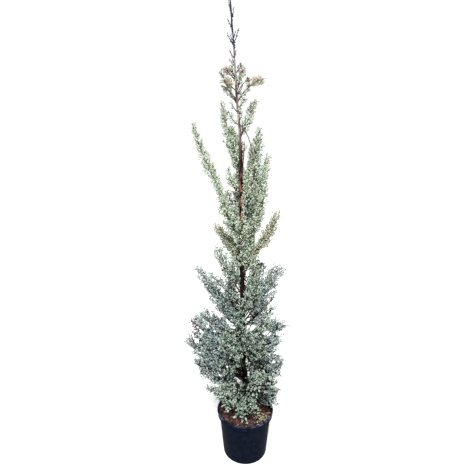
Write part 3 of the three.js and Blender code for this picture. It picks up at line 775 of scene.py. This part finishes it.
# How the tones are dealt out by spray on each kind of limb.
mixes = {
    "sage": {"pale": 0.56, "sage": 0.36, "deep": 0.08},
    "low": {"fog": 0.38, "fern": 0.36, "jade": 0.18, "moss": 0.08},
    "pale": {"fog": 0.44, "fern": 0.3, "jade": 0.14, "moss": 0.12},
    "bluish": {"frost": 0.48, "mist": 0.36, "slate": 0.14, "dusk": 0.02},
    "under": {"frost": 0.2, "mist": 0.34, "slate": 0.31, "dusk": 0.15},
    "broad": {"frost": 0.42, "mist": 0.34, "slate": 0.19, "pink": 0.05},
    "olive": {"olive": 0.6, "sage": 0.3, "straw": 0.1},
    "dryLeft": {"sage": 0.2, "deep": 0.55, "moss": 0.1, "pink": 0.15},
    "dryRight": {"pale": 0.3, "sage": 0.5, "deep": 0.2},
    "tan": {"straw": 0.85, "brown": 0.15},
    "pink": {"pink": 0.8, "straw": 0.1, "deep": 0.1},
    "brown": {"brown": 0.7, "straw": 0.3},
    "fallen": {"olive": 0.35, "straw": 0.25, "moss": 0.2, "brown": 0.2},
    "leader": {"dark": 1.0},
}
# Sprays of another tone at a place: across and height of its middle, half its width and height, the
# tone, and the share of the sprays there that have it.
accents = [
    (34, 1782, 30, 21, "straw", 1.0), (-86, 1766, 21, 19, "straw", 0.95), (-87, 1821, 14, 11, "pink", 0.8),
    (-22, 1822, 17, 15, "pink", 0.7), (60, 1783, 11, 12, "moss", 0.5), (-30, 1853, 16, 16, "dark", 0.5),
    (-159, 1432, 14, 16, "lime", 0.8), (-60, 1575, 12, 16, "lime", 0.3), (92, 1440, 16, 24, "lime", 0.3),
    (-262, 640, 36, 92, "mauve", 0.8), (186, 655, 22, 70, "mauve", 0.7), (20, 236, 46, 24, "brown", 0.5),
    # the darkest tone low round the trunk is painted shade, where the crown is darkest inside
    (-150, 730, 60, 34, "mauve", 0.3), (-16, 440, 34, 84, "pore", 0.7),
    (8, 1522, 14, 28, "straw", 0.5), (-16, 944, 12, 26, "brown", 0.6), (-10, 950, 10, 20, "pink", 0.3),
]
# The chance that a twig at the foot of its branch takes a darker tone of painted shade, low and high
# up, and how much less it is far from the trunk. Those below deepShadeBelow are painted darkest.
shadeInside = {
    "height": (500, 1100), "chance": (0.84, 0.24), "falloff": 1.4, "deepShadeBelow": 760,
    "fromMiddle": (50, 160), "less": (1.0, 0.66),
}
# the most triangles in one piece of foliage
mostTriangles = 190000


def foliageShader(tree, lit, under):
    # wax bloom in patches of about 9 mm, and scale leaves drawn 3 mm long to show
    place = (addNode(tree, "TexCoord"), "Object")
    bloom = addNode(tree, "TexNoise", {"Vector": place, "Scale": 110.0, "Detail": 2.0})
    scales = addNode(tree, "TexVoronoi", {"Vector": place, "Scale": 330.0})
    colour = addNode(tree, "ValToRGB", {"Fac": bloom}, [(0.35, under), (0.65, lit)])
    bump = addNode(tree, "Bump", {"Height": scales, "Strength": 0.5, "Distance": 0.0006})
    return addNode(tree, "BsdfPrincipled", {
        "Base Color": colour, "Roughness": 0.66, "IOR": 1.45, "Specular IOR Level": 0.25, "Normal": bump})


# Each twig and its cords have one tone, dealt out by the mix of their limb.
def dealtTones():
    names = list(tones)
    table = np.zeros((len(limbNames), len(names)))
    for row, kind in enumerate(limbKind):
        for tone, share in mixes[kind].items():
            table[row, names.index(tone)] = share
    steps = np.cumsum(table / table.sum(axis=1, keepdims=True), axis=1)
    count = len(twigs["limb"])
    drawn = dice.random(count)
    dealt = np.minimum((drawn[:, None] > steps[twigs["limb"]]).sum(axis=1), len(names) - 1)
    middle = twigs["points"][:, 1]
    chance = np.interp(middle[:, 2], shadeInside["height"], shadeInside["chance"])
    chance *= np.interp(np.abs(middle[:, 0]), shadeInside["fromMiddle"], shadeInside["less"])
    inside = dice.random(count) < chance * (1 - twigs["share"]) ** shadeInside["falloff"]
    green = np.isin(dealt, [names.index(tone) for tone in living])
    # painted shade: twigs inside the crown take the dark tones instead of their own
    dealt[inside & green] = names.index("shade")
    dealt[inside & green & (middle[:, 2] < shadeInside["deepShadeBelow"])] = names.index("pore")
    for *ellipse, tone, share in accents:
        near = inEllipse(middle[:, 0], middle[:, 2], *ellipse)
        dealt[near & (dice.random(count) < share)] = names.index(tone)
    return names, dealt


def leaderPiece():
    piece = sprayPiece("leader_cords", leaderCords())
    dress(piece, newMaterial("waxy scale foliage, leader", foliageShader, *tones["dark"]))


def foliagePieces():
    names, toneOfTwig = dealtTones()
    for number, name in enumerate(names):
        ofTwigs = np.flatnonzero(toneOfTwig == number)
        if not len(ofTwigs):
            continue
        cordCount = np.bincount(cords["parent"], minlength=len(toneOfTwig))[ofTwigs]
        part = np.cumsum(cordCount * len(spindle)) // mostTriangles
        material = newMaterial("waxy scale foliage, " + name, foliageShader, *tones[name])
        for section in range(int(part.max()) + 1):
            inPart = np.zeros(len(toneOfTwig), bool)
            inPart[ofTwigs[part == section]] = True
            piece = sprayPiece(f"sprays_{name}_{section + 1}", chosen(cords, inPart[cords["parent"]]))
            dress(piece, material, nodesNamed("foliage_"))


bough = {"base": 2.0, "perRadius": 0.058, "tip": 1.1, "steps": 26, "sides": 9, "roughness": 0.06}


def branchShader(tree):
    # young bark under the foliage, dull, in patches of about 14 mm: nearly black low down, a painted
    # shade inside the lower crown, and olive to reddish brown higher up
    place = (addNode(tree, "TexCoord"), "Object")
    patches = addNode(tree, "TexNoise", {"Vector": place, "Scale": 70.0, "Detail": 2.0})
    # painted shade: the near black colour of the branches low in the crown
    paintedShadeLow = addNode(tree, "ValToRGB", {"Fac": patches}, [
        (0.35, "#0d0b0a"), (0.55, "#1b1714"), (0.75, "#302120")])
    young = addNode(tree, "ValToRGB", {"Fac": patches}, [
        (0.35, "#50554a"), (0.55, "#7d8072"), (0.75, "#94705f")])
    axes = addNode(tree, "SeparateXYZ", {"Vector": place})
    height = addNode(tree, "MapRange", {"Value": (axes, "Z"), "From Min": 0.45, "From Max": 1.15})
    colour = addNode(tree, "Mix", {
        "Factor": height, firstColour: paintedShadeLow, secondColour: young}, settings=mixColours)
    return addNode(tree, "BsdfPrincipled", {
        "Base Color": (colour, mixedColour), "Roughness": 0.75, "Specular IOR Level": 0.12})


def boughShader(tree):
    # bark of the limbs: greyish brown with dull red patches of about 17 mm, and dark blue beside the
    # leader
    place = (addNode(tree, "TexCoord"), "Object")
    patches = addNode(tree, "TexNoise", {"Vector": place, "Scale": 60.0, "Detail": 4.0})
    brown = addNode(tree, "ValToRGB", {"Fac": patches}, [
        (0.35, "#231a16"), (0.52, "#54423a"), (0.7, "#82604f")])
    axes = addNode(tree, "SeparateXYZ", {"Vector": place})
    height = addNode(tree, "MapRange", {"Value": (axes, "Z"), "From Min": 1.84, "From Max": 1.90})
    colour = addNode(tree, "Mix", {
        "Factor": height, firstColour: brown, secondColour: toLinear("#18213a")}, settings=mixColours)
    bump = addNode(tree, "Bump", {"Height": patches, "Strength": 0.5, "Distance": 0.001})
    return addNode(tree, "BsdfPrincipled", {
        "Base Color": (colour, mixedColour), "Roughness": 0.7, "Specular IOR Level": 0.2, "Normal": bump})


def boughPieces():
    base = bough["base"] + limbWidth * bough["perRadius"]
    base[limbKind == "leader"] *= leader["shoot"]
    radii = taper(stems, base, bough["tip"])
    piece = tubes("bough_bark", stems["points"], radii, bough["sides"], bough["roughness"])
    dress(piece, newMaterial("limb bark", boughShader), nodesNamed("bough_"))
    young = newMaterial("young red-brown bark", branchShader)
    straight = {"points": twigs["points"][:, [0, -1]]}
    for name, strands in (("branch", branches), ("twig", straight)):
        rule = crown[name]
        radii = taper(strands, rule["base"], rule["tip"])
        dress(tubes(name + "_bark", strands["points"], radii, rule["sides"]), young)


pot = {
    "height": 230, "rimRadius": 140, "wallTopRadius": 128, "baseRadius": 109, "innerRadius": 134.5,
    "foot": 0, "collarFoot": 204, "wall": 2.5, "floor": 7, "innerStep": (3, 0.5), "facets": 128, "smooth": 35,
}
# The pot's outline from its foot up and over the lip, as steps out and up from a radius and a height.
potOutline = [
    ("baseRadius", "foot", (-7, 0), (-2.5, 1.2), (-0.6, 4), (0, 8)),
    ("wallTopRadius", "collarFoot", (-0.8, -3), (1.6, -0.6)),
    ("rimRadius", "collarFoot", (-4.4, 0), (-3, 1.2)),
    ("rimRadius", "height", (-2.4, -9), (-0.5, -6.5), (0, -3.5), (-0.9, -0.9), (-2.8, 0)),
    ("innerRadius", "height", (0.9, -0.8), (0, -3)),
]


def potShader(tree):
    # blow-moulded black polyethylene: matt, with a faint blue sheen painted into its colour, mottled in
    # patches of about 22 mm, and a painted grey highlight along the lip
    place = (addNode(tree, "TexCoord"), "Object")
    mottle = addNode(tree, "TexNoise", {"Vector": place, "Scale": 45.0, "Detail": 5.0})
    # the wall's dark navy, with the faint blue sheen painted in
    wall = addNode(tree, "ValToRGB", {"Fac": mottle}, [
        (0.35, "#090e18"), (0.6, "#0e1521"), (0.8, "#161e2c")])
    # painted highlight: the lighter grey of the lip's top
    lip = addNode(tree, "ValToRGB", {"Fac": mottle}, [
        (0.42, "#0c1220"), (0.5, "#272c42"), (0.62, "#4c5070")])
    axes = addNode(tree, "SeparateXYZ", {"Vector": place})
    # painted highlight: the top edge of the lip takes the lighter colour
    paintedLipHighlight = addNode(tree, "MapRange", {"Value": (axes, "Z"), "From Min": 0.221, "From Max": 0.226})
    colour = addNode(tree, "Mix", {
        "Factor": paintedLipHighlight, firstColour: wall, secondColour: lip}, settings=mixColours)
    rough = addNode(tree, "MapRange", {"Value": mottle, "To Min": 0.34, "To Max": 0.56})
    return addNode(tree, "BsdfPrincipled", {
        "Base Color": (colour, mixedColour), "Roughness": rough, "IOR": 1.51, "Specular IOR Level": 0.006})


# A round shape turned from a profile of radii and heights.
def turnedShell(name, profile, facets):
    bpy.ops.object.select_all(action="DESELECT")
    radius, height = profile[0]
    bpy.ops.mesh.primitive_circle_add(
        vertices=facets, radius=radius / 1000, fill_type="NGON", location=(0, 0, height / 1000))
    bpy.ops.object.transform_apply(location=True)
    piece = bpy.context.object
    piece.name = name
    inMode("EDIT")
    bpy.ops.mesh.select_all(action="SELECT")
    for newRadius, newHeight in profile[1:]:
        rise = (newHeight - height) / 1000
        bpy.ops.mesh.extrude_region_move(TRANSFORM_OT_translate={"value": (0, 0, rise)})
        ratio = newRadius / radius
        bpy.ops.transform.resize(value=(ratio, ratio, 1), center_override=(0, 0, newHeight / 1000))
        radius, height = newRadius, newHeight
    bpy.ops.mesh.select_all(action="SELECT")
    bpy.ops.mesh.normals_make_consistent(inside=False)
    inMode("OBJECT")
    return piece


def potInside():
    high, low = (pot["collarFoot"] + step for step in pot["innerStep"])
    wallTop, base = (pot[name] - pot["wall"] for name in ("wallTopRadius", "baseRadius"))
    return [(pot["innerRadius"], high), (wallTop, low), (base, pot["floor"])]


def potPiece():
    outside = [
        (pot[radius] + out, pot[height] + rise)
        for radius, height, *bends in potOutline for out, rise in bends
    ]
    piece = turnedShell("pot_shell", outside + potInside(), pot["facets"])
    shadeSmooth(pot["smooth"])
    dress(piece, newMaterial("black polyethylene, moulded", potShader), ["pot"])


potMix = {
    "top": 212, "crown": 3, "dip": 4, "flatTo": 34, "dipOver": 100, "gap": 0.3, "rough": (26, 132),
    "grain": 1.1, "facets": 96, "rings": (128, 2, -6),
}


def mixShader(tree):
    # composted bark in crumbs of about 7 mm, dull, from near black to a dark reddish brown
    place = (addNode(tree, "TexCoord"), "Object")
    crumbs = addNode(tree, "TexVoronoi", {"Vector": place, "Scale": 140.0})
    colour = addNode(tree, "ValToRGB", {"Fac": (crumbs, "Color")}, [
        (0.1, "#080403"), (0.45, "#1a0d0c"), (0.8, "#352019")])
    bump = addNode(tree, "Bump", {"Height": crumbs, "Strength": 0.8, "Distance": 0.004})
    return addNode(tree, "BsdfPrincipled", {"Base Color": colour, "Roughness": 0.9, "Normal": bump})


def chipShader(tree, dark, pale):
    # split bark, dull, with a blotchy grain of about 8 mm
    place = (addNode(tree, "TexCoord"), "Object")
    grain = addNode(tree, "TexNoise", {"Vector": place, "Scale": 120.0, "Detail": 4.0})
    colour = addNode(tree, "ValToRGB", {"Fac": grain}, [(0.35, dark), (0.65, pale)])
    bump = addNode(tree, "Bump", {"Height": grain, "Strength": 0.7, "Distance": 0.002})
    return addNode(tree, "BsdfPrincipled", {"Base Color": colour, "Roughness": 0.85, "Normal": bump})


chips = {
    "count": 900, "long": (9, 26), "wide": (0.3, 0.65), "thick": (0.1, 0.22), "tilt": 22, "rise": 5,
    "mostlyShort": 1.6, "worn": 0.45, "spread": (22, 122),
    "kinds": {
        "red": (0.5, "#2e1512", "#774840"), "dark": (0.34, "#0c0706", "#2d1d1a"),
        "tan": (0.16, "#5a4638", "#a18a74"),
    },
}


def mixSurface(fromAxis):
    fall = np.clip((fromAxis - potMix["flatTo"]) / potMix["dipOver"], 0, 1)
    return potMix["top"] + potMix["crown"] - potMix["dip"] * fall


# Many shapes, each turned by its own angle from one axis towards another.
def turned(places, angle, start, end):
    made = places.copy()
    cos, sin = np.cos(angle)[:, None], np.sin(angle)[:, None]
    made[..., start] = places[..., start] * cos - places[..., end] * sin
    made[..., end] = places[..., start] * sin + places[..., end] * cos
    return made


def mixPieces():
    gap = potMix["gap"]
    within = [(radius - gap, height + gap) for radius, height in reversed(potInside())]
    radii = (within[-1][0], *range(*potMix["rings"]))
    profile = within + [(radius, float(mixSurface(radius))) for radius in radii]
    piece = turnedShell("mix_bed", profile, potMix["facets"])
    inside, outside = potMix["rough"]
    for vertex in piece.data.vertices:
        fromAxis = math.hypot(vertex.co.x, vertex.co.y) * 1000
        if vertex.co.z * 1000 > potMix["top"] - potMix["dip"] and inside < fromAxis < outside:
            vertex.co.z += dice.normal(0, potMix["grain"]) / 1000
    dress(piece, newMaterial("composted pine bark", mixShader), ["potting_mix"])

    corners = np.array([(x, y, z) for x in (-1, 1) for y in (-1, 1) for z in (-1, 1)], float)
    faces = [(0, 1, 3), (0, 3, 2), (4, 6, 7), (4, 7, 5), (0, 4, 5), (0, 5, 1),
             (2, 3, 7), (2, 7, 6), (0, 2, 6), (0, 6, 4), (1, 5, 7), (1, 7, 3)]
    for name, (share, dark, pale) in chips["kinds"].items():
        count = int(chips["count"] * share)
        length = between(chips["long"], dice.random(count) ** chips["mostlyShort"])
        size = np.stack([length, length * between(chips["wide"], dice.random(count)),
                         length * between(chips["thick"], dice.random(count))], axis=-1) / 2
        rough = 1 - chips["worn"] * dice.random((count, *corners.shape))
        yaw, pitch = dice.random(count) * fullTurn, np.radians(chips["tilt"]) * dice.standard_normal(count)
        tilted = turned(corners[None] * size[:, None] * rough, pitch, 2, 0)
        fromAxis = between(chips["spread"], np.sqrt(dice.random(count)))
        angle = dice.random(count) * fullTurn
        height = mixSurface(fromAxis) + chips["rise"] * dice.random(count)
        centre = np.stack([fromAxis * np.cos(angle), fromAxis * np.sin(angle), height], axis=-1)
        places = turned(tilted, yaw, 0, 1) + centre[:, None]
        piece = joinedMesh("bark_chips_" + name, places, faces, False)
        dress(piece, newMaterial("pine bark chips, " + name, chipShader, dark, pale))


# The stage, the lights and the camera. The photograph's view is 464 pixels across, with a focal length
# of 357 of them.

camera = {"across": 464, "focal": 357, "sensor": 36, "pitch": 10.7, "place": (-66, -1603, 1433)}
ground = {"size": 60000, "under": 0.5, "glow": 0.25}
light = {"sunStrength": 4.6, "sunAngle": 20, "sunPitch": 36, "sunYaw": -4, "room": 0.4, "backdrop": 1.05}


def floorShader(tree):
    # painted board: matt white, and lit a little from within so that it stays pale
    return addNode(tree, "BsdfPrincipled", {
        "Base Color": toLinear("#f4f4f2"), "Roughness": 0.9, "Emission Color": toLinear("#ffffff"),
        "Emission Strength": ground["glow"]})


def floorPiece():
    bpy.ops.object.select_all(action="DESELECT")
    bpy.ops.mesh.primitive_plane_add(size=ground["size"] / 1000, location=(0, 0, -ground["under"] / 1000))
    floor = bpy.context.object
    floor.name = "floor"
    floor.data.materials.append(newMaterial("pale studio floor", floorShader))


def lights():
    sun = bpy.data.lights.new("softbox", "SUN")
    sun.energy = light["sunStrength"]
    sun.angle = math.radians(light["sunAngle"])
    lamp = newObject("softbox", sun)
    lamp.rotation_euler = (math.radians(light["sunPitch"]), 0, math.radians(light["sunYaw"]))
    world = bpy.data.worlds.new("pale room")
    bpy.context.scene.world = world
    world.use_nodes = True
    tree = world.node_tree
    tree.nodes.clear()
    path = addNode(tree, "LightPath")
    white = toLinear("#ffffff")
    room = addNode(tree, "Background", {"Color": white, "Strength": light["room"]})
    backdrop = addNode(tree, "Background", {"Color": white, "Strength": light["backdrop"]})
    both = addNode(tree, "MixShader", {"Fac": (path, "Is Camera Ray"), 1: room, 2: backdrop})
    addNode(tree, "OutputWorld", {"Surface": both})
    bpy.context.scene.view_settings.view_transform = "Standard"


def cameraPiece():
    data = bpy.data.cameras.new("camera")
    data.sensor_width = camera["sensor"]
    data.lens = camera["focal"] / camera["across"] * camera["sensor"]
    eye = newObject("camera", data)
    eye.location = [value / 1000 for value in camera["place"]]
    eye.rotation_euler = (math.radians(90 - camera["pitch"]), 0, 0)
    bpy.context.scene.camera = eye


stems, branches, twigs, cords = growCrown()
print("crown:", *(len(strands["points"]) for strands in (branches, twigs, cords)), "branches, twigs, cords")
foliagePieces()
leaderPiece()
trunkPiece()
boughPieces()
print("trunk, boughs and foliage made")
potPiece()
mixPieces()
print("pot and potting mix made")
floorPiece()
lights()
cameraPiece()
print("floor, lights and camera made")
